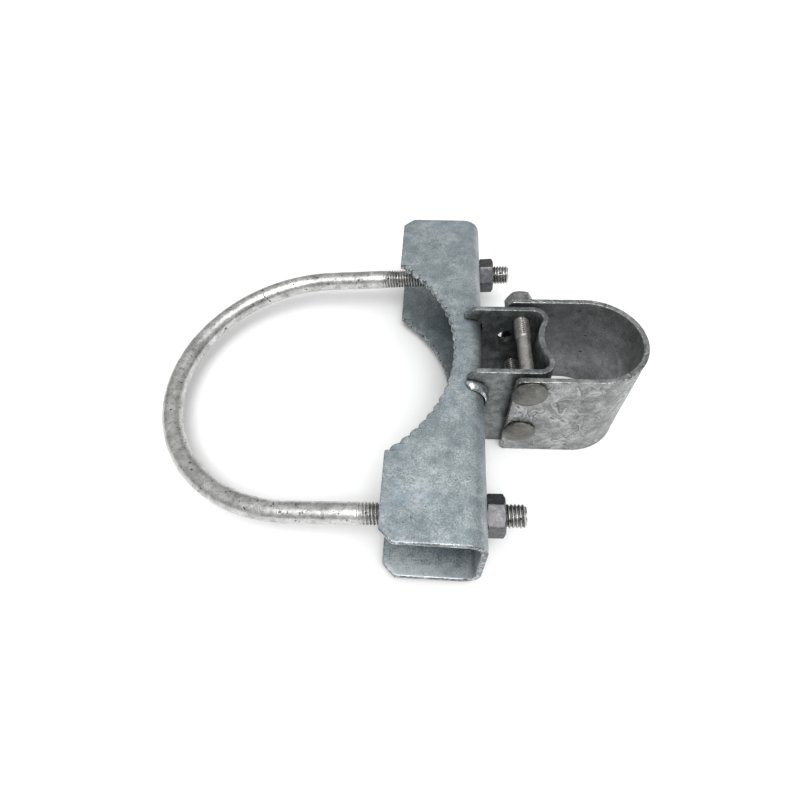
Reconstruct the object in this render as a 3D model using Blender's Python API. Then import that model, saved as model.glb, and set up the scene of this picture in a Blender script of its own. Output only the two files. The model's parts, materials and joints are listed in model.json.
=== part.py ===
"""Gate hinge clamp: a U-bolt draws a toothed saddle channel onto a round post, and a folded
bracket with a bolted collar strap holds the gate pipe. Metres, +Z along the post, +X from the
bend of the U-bolt towards the collar. The origin is the centre of the whole clamp's box."""

import math

import bmesh
import bpy
from mathutils import Matrix, Vector

MM = 0.001
TAU = 2.0 * math.pi

# Shared
GAP = 0.3 * MM
PLATE = 3.4 * MM
AXIS_X = Vector((1.0, 0.0, 0.0))
AXIS_Y = Vector((0.0, 1.0, 0.0))
AXIS_Z = Vector((0.0, 0.0, 1.0))
WEB_X = 57.28 * MM
CUT_OVER = 2.0 * MM
SHARP_ANGLE = math.radians(30.0)
HOLE_SIDES = 32
SIDES = {"near": -1, "far": 1}

# U-bolt: it hangs a little below square in its clearance holes
ROD_R = 6.35 * MM
LEG_Y = 93.5 * MM
DROOP = math.radians(4.7)
LEG_AXIS = Vector((math.cos(DROOP), 0.0, math.sin(DROOP)))
BEND_BACK = 105.9 * MM
TIP_OUT = 24.0 * MM
TIP_CHAMFER = 1.2 * MM
ROD_SIDES = 28
BEND_STEPS = 40
LEG_HOLE_R = 7.2 * MM

# U-bolt nuts
NUT_OUT = 2.8 * MM
NUT_FLATS = 20.6 * MM
NUT_T = 10.3 * MM
NUT_BORE_R = 6.6 * MM
NEAR_NUT_TURN = math.radians(24.0)
FAR_NUT_TURN = math.radians(-11.0)

# Rims of every hexagonal nut
NUT_FACE_SHARE = 0.97
NUT_RIM_SHARE = 1.1
NUT_RIM_ANGLE = math.radians(30.0)
NUT_RIM_SIDES = 48

# Saddle channel
CHAN_L = 242.0 * MM
CHAN_D = 53.6 * MM
CHAN_H = 54.0 * MM
CHAN_BEND_R = 11.0 * MM
CHAN_CORNER = 7.0 * MM
JAW_R = 89.5 * MM
JAW_X = WEB_X - 107.4 * MM
JAW_HALF_ANGLE = math.radians(56.0)
TOOTH_COUNT = 26
TOOTH_DEPTH = 1.9 * MM
TOOTH_SHAPE = ((0.0, 1.0), (0.2, 0.32), (0.5, 0.0), (0.8, 0.32))
BEND_ARC_STEPS = 7

# Hinge bracket
BRK_HALF_W = 25.7 * MM
BRK_H = 69.8 * MM
BRK_END_X = WEB_X - 10.8 * MM
BRK_END_CHAMFER = 5.0 * MM
BRK_CORNER_R = 9.3 * MM
BRK_CORNER_X = WEB_X + 28.6 * MM
BRK_SADDLE_R = 25.5 * MM
BRK_SADDLE_X = WEB_X + 59.3 * MM
NOTCH_R = 8.0 * MM
NOTCH_GAP = 0.35 * MM
SPARE_HOLE_R = 4.6 * MM
SPARE_HOLE_X = WEB_X + 15.7 * MM
SPARE_HOLE_Z = 12.2 * MM

# Collar strap
STRAP_HALF_W = 32.1 * MM
STRAP_H = 70.4 * MM
STRAP_END_X = WEB_X + 15.2 * MM
STRAP_ROUND_X = WEB_X + 60.1 * MM
STRAP_CORNER = 2.4 * MM
STRAP_STEPS = 28

# Carriage bolts and their nuts
CB_X = WEB_X + 23.8 * MM
CB_Z = {"upper": 25.0 * MM, "lower": -13.5 * MM}
CB_THREAD_R = 4.76 * MM
CB_SHANK_R = 4.1 * MM
CB_THREAD_Y = 7.5 * MM
CB_TIP_Y = 44.0 * MM
CB_TIP_CHAMFER = 0.9 * MM
CB_HEAD_R = 10.1 * MM
CB_HEAD_T = 4.0 * MM
CB_HEAD_RIM = 1.2 * MM
CB_NECK_HALF = 4.7 * MM
CB_NECK_L = 5.5 * MM
CB_SIDES = 24
CB_HOLE_R = 5.2 * MM
CB_NUT_FLATS = 15.9 * MM
CB_NUT_T = 9.1 * MM
CB_NUT_BORE_R = 5.0 * MM

# Collar group: bracket, strap, bolts and welds sit a little off the channel's middle, slightly turned
COLLAR_Y = 1.6 * MM
COLLAR_YAW = math.radians(1.24)

# Weld beads, each laid round one bend of the channel against a bracket plate
WELD_W = {"near": 6.4 * MM, "far": 4.6 * MM}
WELD_T = {"near": 2.3 * MM, "far": 1.8 * MM}
WELD_ROOT = 1.0 * MM
WELD_START = math.radians(-42.0)
WELD_END = {"near": math.radians(108.0), "far": math.radians(76.0)}
WELD_STEPS = 14
WELD_SECTION = ((0.0, 0.72), (0.25, 1.0), (0.55, 0.95), (0.82, 0.62), (1.0, 0.12))
WELD_RIPPLE = 0.06
WELD_RIPPLES = 5.3
WELD_ENDS = 0.06
WELD_FULLNESS = 0.7
WELD_SEAT_Y = 60.0 * MM

CHANNEL_CUTTERS = ("bracket_notch", "weld_seat")

SLOTS = {
    "galvanised_plate": ((0.60, 0.63, 0.65), 0.45),
    "galvanised_rod": ((0.72, 0.73, 0.74), 0.35),
    "dark_nut": ((0.25, 0.25, 0.27), 0.50),
    "plated_bolt": ((0.50, 0.48, 0.45), 0.45),
    "weld_metal": ((0.62, 0.64, 0.66), 0.35),
}


def clear_scene():
    for obj in list(bpy.data.objects):
        bpy.data.objects.remove(obj, do_unlink=True)


def material_for(node, slot):
    colour, roughness = SLOTS[slot]
    mat = bpy.data.materials.new(f"{slot}_{node}")
    mat.use_nodes = True
    shader = mat.node_tree.nodes["Principled BSDF"]
    shader.inputs["Base Color"].default_value = (*colour, 1.0)
    shader.inputs["Metallic"].default_value = 0.9
    shader.inputs["Roughness"].default_value = roughness
    return mat


def object_from(name, bm, slot=None):
    bmesh.ops.recalc_face_normals(bm, faces=bm.faces)
    mesh = bpy.data.meshes.new(name)
    bm.to_mesh(mesh)
    bm.free()
    mesh.shade_smooth()
    mesh.set_sharp_from_angle(angle=SHARP_ANGLE)
    obj = bpy.data.objects.new(name, mesh)
    bpy.context.scene.collection.objects.link(obj)
    if slot:
        mesh.materials.append(material_for(name, slot))
    else:
        obj.hide_render = True
        obj.display_type = "WIRE"
    return obj


def combine(target, other, operation="DIFFERENCE"):
    modifier = target.modifiers.new(other.name, "BOOLEAN")
    modifier.operation = operation
    modifier.solver = "EXACT"
    modifier.object = other


def set_origin(obj, point):
    """Moves the object's origin to point and leaves the shape where it is."""
    obj.data.transform(Matrix.Translation(-point))
    obj.matrix_world = Matrix.Translation(point)


def loft(rings, closed=False):
    """A tube through equal-length rings of points, capped at both ends unless closed."""
    bm = bmesh.new()
    loops = [[bm.verts.new(p) for p in ring] for ring in rings]
    pairs = list(zip(loops, loops[1:]))
    if closed:
        pairs.append((loops[-1], loops[0]))
    for first, second in pairs:
        count = len(first)
        for i in range(count):
            j = (i + 1) % count
            bm.faces.new((first[i], first[j], second[j], second[i]))
    if not closed:
        bm.faces.new(loops[0][::-1])
        bm.faces.new(loops[-1])
    return bm


def prism_z(outline, half_height):
    return loft([[Vector((x, y, z)) for x, y in outline] for z in (-half_height, half_height)])


def prism_y(outline, y_low, y_high):
    return loft([[Vector((x, y, z)) for x, z in outline] for y in (y_low, y_high)])


def circle(centre, axis, radius, sides, turn=0.0):
    across = (AXIS_Z - AXIS_Z.dot(axis) * axis).normalized()
    side = axis.cross(across)
    points = []
    for i in range(sides):
        angle = turn + TAU * i / sides
        points.append(centre + radius * (math.cos(angle) * across + math.sin(angle) * side))
    return points


def turned(base, axis, profile, sides):
    """A solid of revolution: profile holds (distance along axis, radius) pairs."""
    return loft([circle(base + axis * at, axis, radius, sides) for at, radius in profile])


def arc(cx, cy, radius, start, end, steps):
    points = []
    for i in range(steps + 1):
        angle = start + (end - start) * i / steps
        points.append((cx + radius * math.cos(angle), cy + radius * math.sin(angle)))
    return points


def hex_nut(name, slot, base, axis, flats, thickness, bore_r, turn):
    """A hexagonal nut with both rims chamfered, bored through, its origin on the thread axis."""
    corner_r = flats / math.sqrt(3.0)
    rings = [circle(base + axis * at, axis, corner_r, 6, turn + TAU / 12) for at in (0.0, thickness)]
    nut = object_from(name, loft(rings), slot)
    drop = (corner_r - flats / 2) * NUT_RIM_SHARE
    face_r = flats / 2 * NUT_FACE_SHARE
    wide_r = face_r + drop / math.tan(NUT_RIM_ANGLE)
    profile = [(-GAP, face_r - GAP), (drop, wide_r)]
    profile += [(thickness - drop, wide_r), (thickness + GAP, face_r - GAP)]
    chamfer = object_from(f"{name}_chamfer", turned(base, axis, profile, NUT_RIM_SIDES))
    combine(nut, chamfer, "INTERSECT")
    bore = ((-CUT_OVER, bore_r), (thickness + CUT_OVER, bore_r))
    combine(nut, object_from(f"{name}_bore", turned(base, axis, bore, HOLE_SIDES)))
    set_origin(nut, base)
    return nut


def leg_point(out, y):
    """A point in the U-bolt's own plane: out from the middle of the web, along the legs."""
    return Vector((WEB_X - PLATE / 2, y, 0.0)) + out * LEG_AXIS


def build_u_bolt():
    """One round rod: leg, half-circle bend, leg."""
    path = []
    for out, radius in ((TIP_OUT, ROD_R - TIP_CHAMFER), (TIP_OUT - TIP_CHAMFER, ROD_R)):
        path.append((leg_point(out, LEG_Y), -LEG_AXIS, radius))
    for i in range(BEND_STEPS + 1):
        angle = math.pi / 2 + math.pi * i / BEND_STEPS
        spot = leg_point(LEG_Y * math.cos(angle) - BEND_BACK, LEG_Y * math.sin(angle))
        along = math.cos(angle) * AXIS_Y - math.sin(angle) * LEG_AXIS
        path.append((spot, along, ROD_R))
    for out, radius in ((TIP_OUT - TIP_CHAMFER, ROD_R), (TIP_OUT, ROD_R - TIP_CHAMFER)):
        path.append((leg_point(out, -LEG_Y), LEG_AXIS, radius))
    rings = [circle(spot, along, radius, ROD_SIDES) for spot, along, radius in path]
    u_bolt = object_from("u_bolt", loft(rings), "galvanised_rod")
    set_origin(u_bolt, leg_point(0.0, 0.0))


def build_u_bolt_nuts():
    for side, sign, turn in (("near", -1, NEAR_NUT_TURN), ("far", 1, FAR_NUT_TURN)):
        base = leg_point(NUT_OUT, sign * LEG_Y)
        hex_nut(f"u_bolt_nut_{side}", "dark_nut", base, LEG_AXIS, NUT_FLATS, NUT_T, NUT_BORE_R, turn)


def channel_section(grow=0.0):
    """Outer outline of the channel in X and Z, open side towards -X, grown outwards by grow."""
    half = CHAN_H / 2 + grow
    radius = CHAN_BEND_R + grow
    centre = WEB_X - CHAN_BEND_R
    rise = CHAN_H / 2 - CHAN_BEND_R
    outline = [(WEB_X - CHAN_D - grow, -half)]
    outline += arc(centre, -rise, radius, -math.pi / 2, 0.0, BEND_ARC_STEPS)
    outline += arc(centre, rise, radius, 0.0, math.pi / 2, BEND_ARC_STEPS)
    outline.append((WEB_X - CHAN_D - grow, half))
    return outline


def channel_cavity():
    """Inner outline of the channel, running out past the open side."""
    half = CHAN_H / 2 - PLATE
    radius = CHAN_BEND_R - PLATE
    centre = WEB_X - CHAN_BEND_R
    rise = CHAN_H / 2 - CHAN_BEND_R
    outline = [(WEB_X - CHAN_D - CUT_OVER, -half)]
    outline += arc(centre, -rise, radius, -math.pi / 2, 0.0, BEND_ARC_STEPS)
    outline += arc(centre, rise, radius, 0.0, math.pi / 2, BEND_ARC_STEPS)
    outline.append((WEB_X - CHAN_D - CUT_OVER, half))
    return outline


def flange_blank():
    """Outline of the flanges seen along the post: chamfered corners and the toothed jaw."""
    edge = WEB_X - CHAN_D
    end = CHAN_L / 2
    jaw = []
    for i in range(TOOTH_COUNT):
        for share, depth in TOOTH_SHAPE:
            angle = -JAW_HALF_ANGLE + 2 * JAW_HALF_ANGLE * (i + share) / TOOTH_COUNT
            radius = JAW_R + depth * TOOTH_DEPTH
            spot = (JAW_X + radius * math.cos(angle), radius * math.sin(angle))
            if spot[0] > edge + GAP:
                jaw.append(spot)
    mouth = abs(jaw[0][1]) + TOOTH_DEPTH
    outline = [(edge, -mouth)] + jaw + [(edge, mouth)]
    outline += [(edge, end - CHAN_CORNER), (edge + CHAN_CORNER, end + CUT_OVER)]
    outline += [(WEB_X + CUT_OVER, end + CUT_OVER), (WEB_X + CUT_OVER, -end - CUT_OVER)]
    outline += [(edge + CHAN_CORNER, -end - CUT_OVER), (edge, -end + CHAN_CORNER)]
    return outline


def build_channel():
    end = CHAN_L / 2
    channel = object_from("saddle_channel", prism_y(channel_section(), -end, end), "galvanised_plate")
    cavity = prism_y(channel_cavity(), -end - CUT_OVER, end + CUT_OVER)
    combine(channel, object_from("channel_cavity", cavity))
    blank = prism_z(flange_blank(), CHAN_H)
    combine(channel, object_from("channel_blank", blank), "INTERSECT")
    for side, sign in SIDES.items():
        base = Vector((WEB_X - CHAN_BEND_R, sign * LEG_Y, 0.0))
        hole = turned(base, AXIS_X, ((0.0, LEG_HOLE_R), (2 * CHAN_BEND_R, LEG_HOLE_R)), HOLE_SIDES)
        combine(channel, object_from(f"channel_hole_{side}", hole))


def bracket_side(inset):
    """The +Y half of the bracket's outline, inset from its outer surface, from plate end to the middle."""
    corner_y = BRK_HALF_W - BRK_CORNER_R
    towards = math.atan2(-corner_y, BRK_SADDLE_X - BRK_CORNER_X)
    points = [(BRK_END_X, BRK_HALF_W - inset)]
    points += arc(BRK_CORNER_X, corner_y, BRK_CORNER_R - inset, math.pi / 2, towards, 10)
    points += arc(BRK_SADDLE_X, 0.0, BRK_SADDLE_R + inset, math.pi + towards, math.pi, 5)[1:]
    return points


def bracket_outline():
    outer = bracket_side(0.0)
    inner = bracket_side(PLATE)
    outline = outer + [(x, -y) for x, y in reversed(outer[:-1])]
    outline += [(x, -y) for x, y in inner] + list(reversed(inner[:-1]))
    return outline


def notch_outline():
    """The channel's section with clearance and tighter corners, so a crescent stays open at each bend."""
    half = CHAN_H / 2 + NOTCH_GAP
    centre = WEB_X + NOTCH_GAP - NOTCH_R
    rise = half - NOTCH_R
    outline = [(WEB_X - CHAN_D, -half)]
    outline += arc(centre, -rise, NOTCH_R, -math.pi / 2, 0.0, BEND_ARC_STEPS)
    outline += arc(centre, rise, NOTCH_R, 0.0, math.pi / 2, BEND_ARC_STEPS)
    outline.append((WEB_X - CHAN_D, half))
    return outline


def cut_corners(low, high, half, cut):
    """A rectangle in X and Z with its two corners at low X cut off."""
    outline = [(low, -half + cut), (low + cut, -half), (high, -half)]
    outline += [(high, half), (low + cut, half), (low, half - cut)]
    return outline


def square_neck(z, half):
    corners = ((-half, -half), (half, -half), (half, half), (-half, half))
    return [(CB_X + along, z + up) for along, up in corners]


def cylinder_y(name, x, z, radius, y_low, y_high):
    base = Vector((x, y_low, z))
    return object_from(name, turned(base, AXIS_Y, ((0.0, radius), (y_high - y_low, radius)), HOLE_SIDES))


def build_bracket():
    bracket = object_from("hinge_bracket", prism_z(bracket_outline(), BRK_H), "galvanised_plate")
    reach = BRK_HALF_W + CUT_OVER
    seen = cut_corners(BRK_END_X, BRK_CORNER_X + 2 * BRK_CORNER_R, BRK_H / 2, BRK_END_CHAMFER)
    combine(bracket, object_from("bracket_sides", prism_y(seen, -reach, reach)), "INTERSECT")
    combine(bracket, object_from("bracket_notch", prism_y(notch_outline(), -reach, reach)))
    for level, z in CB_Z.items():
        combine(bracket, cylinder_y(f"bracket_hole_{level}", CB_X, z, CB_HOLE_R, -reach, reach))
    spare = cylinder_y("bracket_spare_hole", SPARE_HOLE_X, SPARE_HOLE_Z, SPARE_HOLE_R, 0.0, reach)
    combine(bracket, spare)
    return bracket


def strap_side(inset):
    points = [(STRAP_END_X, STRAP_HALF_W - inset)]
    points += arc(STRAP_ROUND_X, 0.0, STRAP_HALF_W - inset, math.pi / 2, -math.pi / 2, STRAP_STEPS)
    points.append((STRAP_END_X, inset - STRAP_HALF_W))
    return points


def build_strap():
    outline = strap_side(0.0) + list(reversed(strap_side(PLATE)))
    strap = object_from("collar_strap", prism_z(outline, STRAP_H), "galvanised_plate")
    reach = STRAP_HALF_W + CUT_OVER
    far = STRAP_ROUND_X + STRAP_HALF_W + CUT_OVER
    seen = cut_corners(STRAP_END_X, far, STRAP_H / 2, STRAP_CORNER)
    combine(strap, object_from("strap_face", prism_y(seen, -reach, reach)), "INTERSECT")
    for level, z in CB_Z.items():
        combine(strap, cylinder_y(f"strap_hole_{level}", CB_X, z, CB_HOLE_R, 0.0, reach))
        square = square_neck(z, CB_NECK_HALF + GAP)
        combine(strap, object_from(f"strap_square_{level}", prism_y(square, -reach, 0.0)))
    return strap


def build_carriage_bolt(level):
    """Low domed head, square neck, reduced shank and full-size thread, along +Y."""
    z = CB_Z[level]
    seat = -STRAP_HALF_W - GAP
    base = Vector((CB_X, 0.0, z))
    profile = [(seat - CB_HEAD_T, 0.25 * CB_HEAD_R)]
    for share in (0.5, 0.75, 0.9):
        dome = CB_HEAD_RIM + (CB_HEAD_T - CB_HEAD_RIM) * math.sqrt(1 - share**2)
        profile.append((seat - dome, share * CB_HEAD_R))
    profile += [(seat - CB_HEAD_RIM, CB_HEAD_R), (seat, CB_HEAD_R)]
    profile += [(seat, CB_SHANK_R), (CB_THREAD_Y - GAP, CB_SHANK_R), (CB_THREAD_Y, CB_THREAD_R)]
    profile += [(CB_TIP_Y - CB_TIP_CHAMFER, CB_THREAD_R), (CB_TIP_Y, CB_THREAD_R - CB_TIP_CHAMFER)]
    bolt = object_from(f"carriage_bolt_{level}", turned(base, AXIS_Y, profile, CB_SIDES), "plated_bolt")
    neck = prism_y(square_neck(z, CB_NECK_HALF), seat - CB_HEAD_RIM / 2, seat + CB_NECK_L)
    combine(bolt, object_from(f"carriage_neck_{level}", neck), "UNION")
    set_origin(bolt, Vector((CB_X, seat, z)))
    return bolt


def build_carriage_nut(level):
    base = Vector((CB_X, STRAP_HALF_W + GAP, CB_Z[level]))
    name = f"carriage_nut_{level}"
    return hex_nut(name, "plated_bolt", base, AXIS_Y, CB_NUT_FLATS, CB_NUT_T, CB_NUT_BORE_R, 0.0)


def weld_ring(side_name, up, share):
    """One cross-section of a bead: share runs from 0 at the web to 1 on the flange."""
    side = SIDES[side_name]
    width = WELD_W[side_name]
    thickness = WELD_T[side_name]
    angle = WELD_START + (WELD_END[side_name] - WELD_START) * share
    swell = math.sin(math.pi * (WELD_ENDS + (1 - 2 * WELD_ENDS) * share)) ** WELD_FULLNESS
    swell *= 1.0 + WELD_RIPPLE * math.sin(WELD_RIPPLES * TAU * share + side + up)
    outward = Vector((math.cos(angle), 0.0, up * math.sin(angle)))
    centre = Vector((WEB_X - CHAN_BEND_R, 0.0, up * (CHAN_H / 2 - CHAN_BEND_R)))
    face = side * (BRK_HALF_W + GAP) * AXIS_Y
    ring = [centre + face + outward * (CHAN_BEND_R - WELD_ROOT)]
    for across, height in WELD_SECTION:
        radius = CHAN_BEND_R + GAP + height * thickness * swell
        ring.append(centre + face + side * across * width * swell * AXIS_Y + outward * radius)
    ring.append(centre + face + side * width * swell * AXIS_Y + outward * (CHAN_BEND_R - WELD_ROOT))
    return ring


def build_welds():
    welds = []
    for side_name in SIDES:
        for level, up in (("upper", 1), ("lower", -1)):
            rings = [weld_ring(side_name, up, i / WELD_STEPS) for i in range(WELD_STEPS + 1)]
            bead = object_from(f"weld_{side_name}_{level}", loft(rings), "weld_metal")
            seat = prism_y(channel_section(GAP), -WELD_SEAT_Y, WELD_SEAT_Y)
            combine(bead, object_from(f"weld_seat_{side_name}_{level}", seat))
            welds.append(bead)
    return welds


def carry(group):
    """Hangs the collar's pieces and their cutters on one empty that sets them off the channel's middle."""
    mount = bpy.data.objects.new("collar_mount", None)
    bpy.context.scene.collection.objects.link(mount)
    mount.location = (WEB_X, COLLAR_Y, 0.0)
    mount.rotation_euler = (0.0, 0.0, COLLAR_YAW)
    for obj in group:
        obj.parent = mount
        obj.matrix_parent_inverse = Matrix.Translation((-WEB_X, 0.0, 0.0))
        for modifier in obj.modifiers:
            if not modifier.object.name.startswith(CHANNEL_CUTTERS):
                modifier.object.parent = mount
                modifier.object.matrix_parent_inverse = Matrix.Translation((-WEB_X, 0.0, 0.0))


def main():
    clear_scene()
    build_u_bolt()
    build_u_bolt_nuts()
    build_channel()
    group = [build_bracket(), build_strap()]
    for level in CB_Z:
        group.append(build_carriage_bolt(level))
        group.append(build_carriage_nut(level))
    group += build_welds()
    carry(group)


main()
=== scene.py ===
import json
import math

import bmesh
import bpy
from mathutils import Matrix, Vector, noise


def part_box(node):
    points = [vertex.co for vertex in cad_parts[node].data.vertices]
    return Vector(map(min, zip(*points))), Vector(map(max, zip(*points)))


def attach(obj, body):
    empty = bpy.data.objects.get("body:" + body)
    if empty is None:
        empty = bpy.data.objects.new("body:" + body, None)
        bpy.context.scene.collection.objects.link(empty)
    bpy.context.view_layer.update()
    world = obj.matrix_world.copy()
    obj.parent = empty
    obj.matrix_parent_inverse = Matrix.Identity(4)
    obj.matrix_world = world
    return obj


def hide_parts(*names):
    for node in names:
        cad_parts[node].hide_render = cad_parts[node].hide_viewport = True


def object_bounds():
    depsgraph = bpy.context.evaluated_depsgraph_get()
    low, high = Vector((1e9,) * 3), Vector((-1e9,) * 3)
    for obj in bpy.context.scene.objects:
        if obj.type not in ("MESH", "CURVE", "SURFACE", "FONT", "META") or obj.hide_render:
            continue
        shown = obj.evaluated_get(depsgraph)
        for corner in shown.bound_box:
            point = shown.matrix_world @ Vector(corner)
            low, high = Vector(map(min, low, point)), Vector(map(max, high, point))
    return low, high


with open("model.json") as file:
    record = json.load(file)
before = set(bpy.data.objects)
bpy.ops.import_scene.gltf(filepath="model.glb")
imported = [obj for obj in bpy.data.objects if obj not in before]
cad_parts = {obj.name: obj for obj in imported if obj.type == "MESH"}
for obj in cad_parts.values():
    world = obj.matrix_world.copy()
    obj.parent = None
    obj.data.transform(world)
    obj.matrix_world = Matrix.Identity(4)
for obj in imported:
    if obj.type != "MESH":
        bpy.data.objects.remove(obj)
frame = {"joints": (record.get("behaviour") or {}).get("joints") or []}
CAD_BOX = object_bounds()

MM = 0.001
TAU = 2.0 * math.pi
JOINTS = {joint["name"]: joint for joint in frame["joints"]}
X = Vector((1.0, 0.0, 0.0))
Y = Vector((0.0, 1.0, 0.0))
Z = Vector((0.0, 0.0, 1.0))

# ---------------------------------------------------------------- dimensions
PLATE = 3.4 * MM
GAP = 0.3 * MM
RIM = 0.55 * MM
RIM_SHARE = 0.9
BORE_SIDES = 48

CHAN_LO, CHAN_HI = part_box("saddle_channel")
WEB_X = CHAN_HI.x
CHAN_BEND_R = 11.0 * MM
CHAN_CORNER = 7.0 * MM
JAW_R = 89.5 * MM
JAW_X = WEB_X - 107.4 * MM
JAW_HALF_ANGLE = math.radians(56.0)
JAW_LEAD = 0.8 * MM
TOOTH_COUNT = 26
TOOTH_DEPTH = 1.9 * MM
TOOTH_ROUNDNESS = 0.85
TOOTH_STEPS = 10

LEG_AXIS = -Vector(JOINTS["u_nut_near_turn"]["axis"])
LEG_Y = JOINTS["u_nut_far_turn"]["pos_m"][1]
LEG_ROOT = Vector((JOINTS["u_nut_far_turn"]["pos_m"][0], 0.0, 0.0))
LEG_HOLE_R = 7.2 * MM
ROD_R = 6.35 * MM
ROD_SIDES = 48
ROD_BEND_STEPS = 96
BEND_BACK = 105.9 * MM
TIP_OUT = 24.0 * MM
TIP_CHAMFER = 1.3 * MM
ROD_THREAD_FROM = -67.5 * MM
ROD_THREAD_RUNOUT = 5.0
ROD_PITCH = 1.954 * MM
ROD_THREAD_DEPTH = 1.05 * MM
RINGS_PER_PITCH = 9
TIP_THREAD_LOSS = 0.6

NUT_OUT = 2.8 * MM
NUT_FLATS = 20.6 * MM
NUT_T = 10.3 * MM
NUT_BORE_R = 6.2 * MM
NUT_TURNS = {"near": math.radians(24.0), "far": math.radians(-11.0)}
NUT_SIDES = 96
NUT_CORNER_SHARE = 0.985
NUT_FACE_SHARE = 0.95
NUT_CHAMFER = math.radians(32.0)
COUNTERSINK = 0.7 * MM
NUT_GROOVE = 0.5 * MM
GROOVE_FADE = 0.8 * MM
RINGS_PER_NUT_PITCH = 8

BOLT_OUT = 23.8 * MM
BOLT_Z = {"upper": JOINTS["carriage_nut_upper_turn"]["pos_m"][2],
          "lower": JOINTS["carriage_nut_lower_turn"]["pos_m"][2]}
BRK_HALF_W = 25.7 * MM
BRK_H = 69.8 * MM
BRK_END = -10.8 * MM
BRK_END_CHAMFER = 5.0 * MM
BRK_CORNER_R = 9.3 * MM
BRK_CORNER = 28.6 * MM
BRK_SADDLE_R = 25.5 * MM
BRK_SADDLE = 59.3 * MM
BRK_DIVISIONS = 24
NOTCH_R = 8.0 * MM
NOTCH_GAP = 0.35 * MM
SPARE_HOLE = (15.7 * MM, 12.2 * MM, 4.6 * MM)

STRAP_HALF_W = 32.1 * MM
STRAP_H = 70.4 * MM
STRAP_END = 15.2 * MM
STRAP_ROUND = 60.1 * MM
STRAP_CORNER = 2.4 * MM
STRAP_SPACING = 0.55 * MM
STRAP_DIVISIONS = 128
STRAP_INNER_DIVISIONS = 24
RELIEF_FADE = 4 * MM

CB_THREAD_R = 4.76 * MM
CB_THREAD_DEPTH = 0.75 * MM
CB_THREAD_RUNOUT = 0.8
CB_PITCH = 1.5875 * MM
CB_SHANK_R = 4.1 * MM
CB_SIDES = 48
CB_THREAD_Y = 7.5 * MM
CB_TIP_Y = 44.0 * MM
CB_HEAD_R = 10.1 * MM
CB_HEAD_T = 4.0 * MM
CB_HEAD_RIM = 1.2 * MM
CB_DOME_SHARES = (0.02, 0.2, 0.4, 0.6, 0.75, 0.87, 0.95, 0.99)
CB_DOME_POWER = 2.4
CB_NECK_HALF = 4.7 * MM
CB_NECK_SOFT = 0.5 * MM
CB_NECK_L = 5.5 * MM
CB_HOLE_R = 5.2 * MM
CB_NUT_FLATS = 15.9 * MM
CB_NUT_T = 9.1 * MM
CB_NUT_BORE_R = 4.7 * MM

WELD_W = {"near": 6.4 * MM, "far": 4.6 * MM}
WELD_T = {"near": 2.3 * MM, "far": 1.8 * MM}
WELD_DOWN_WEB = 7.6 * MM
WELD_ON_FLANGE = {"near": 1.2 * MM, "far": 0.0}
WELD_RINGS = 90
# Bead section from the plate outward, as (share of the width, share of the thickness)
WELD_SECTION = ((0.0, 0.0), (0.0, 0.45), (0.04, 0.72), (0.14, 0.92), (0.28, 1.0), (0.44, 0.97), (0.6, 0.84),
                (0.76, 0.62), (0.9, 0.32), (1.0, 0.0))

# The collar group's own frame: x out from the web, y along the channel, turned a little about Z
NUT_AT = Vector(JOINTS["carriage_nut_upper_turn"]["pos_m"])
NUT_AXIS = Vector(JOINTS["carriage_nut_upper_turn"]["axis"])
YAW = math.atan2(-NUT_AXIS.x, NUT_AXIS.y)
TURN = Matrix.Rotation(YAW, 4, "Z")
COLLAR_Y = (NUT_AT - TURN @ Vector((BOLT_OUT, STRAP_HALF_W + GAP, 0.0))).y
COLLAR = Matrix.Translation((WEB_X, COLLAR_Y, 0.0)) @ TURN


# ---------------------------------------------------------------- mesh helpers
def steps(start, end, count):
    return [start + (end - start) * i / count for i in range(count + 1)]


RISING = steps(0.0, math.pi / 2, 3)[1:]
FALLING = steps(math.pi / 2, 0.0, 3)[:-1]
END_ROUND = steps(math.pi / 2, 0.0, 4)[:-1]


def circle(centre, axis, radius, sides, turn=0.0):
    across = (Z - Z.dot(axis) * axis).normalized()
    side = axis.cross(across)
    ring = []
    for i in range(sides):
        angle = turn + TAU * i / sides
        ring.append(centre + radius * (math.cos(angle) * across + math.sin(angle) * side))
    return ring


def loft(rings, capped=True):
    """Vertices and faces of a tube through closed rings of equal length."""
    count = len(rings[0])
    verts = [point for ring in rings for point in ring]
    faces = []
    for r in range(len(rings) - 1):
        for i in range(count):
            j = (i + 1) % count
            faces.append((r * count + i, r * count + j, (r + 1) * count + j, (r + 1) * count + i))
    if capped:
        faces.append(tuple(range(count))[::-1])
        faces.append(tuple(range((len(rings) - 1) * count, len(rings) * count)))
    return verts, faces


def joined(*parts):
    verts, faces = [], []
    for part_verts, part_faces in parts:
        start = len(verts)
        verts += part_verts
        faces += [tuple(start + i for i in face) for face in part_faces]
    return verts, faces


def mesh_object(name, shape, matrix=None, sharp=35.0):
    mesh = bpy.data.meshes.new(name)
    mesh.from_pydata([tuple(v) for v in shape[0]], [], shape[1])
    if matrix:
        mesh.transform(matrix)
    bm = bmesh.new()
    bm.from_mesh(mesh)
    bmesh.ops.recalc_face_normals(bm, faces=bm.faces)
    bm.to_mesh(mesh)
    bm.free()
    mesh.shade_smooth()
    mesh.set_sharp_from_angle(angle=math.radians(sharp))
    obj = bpy.data.objects.new(name, mesh)
    bpy.context.scene.collection.objects.link(obj)
    return obj


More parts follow.
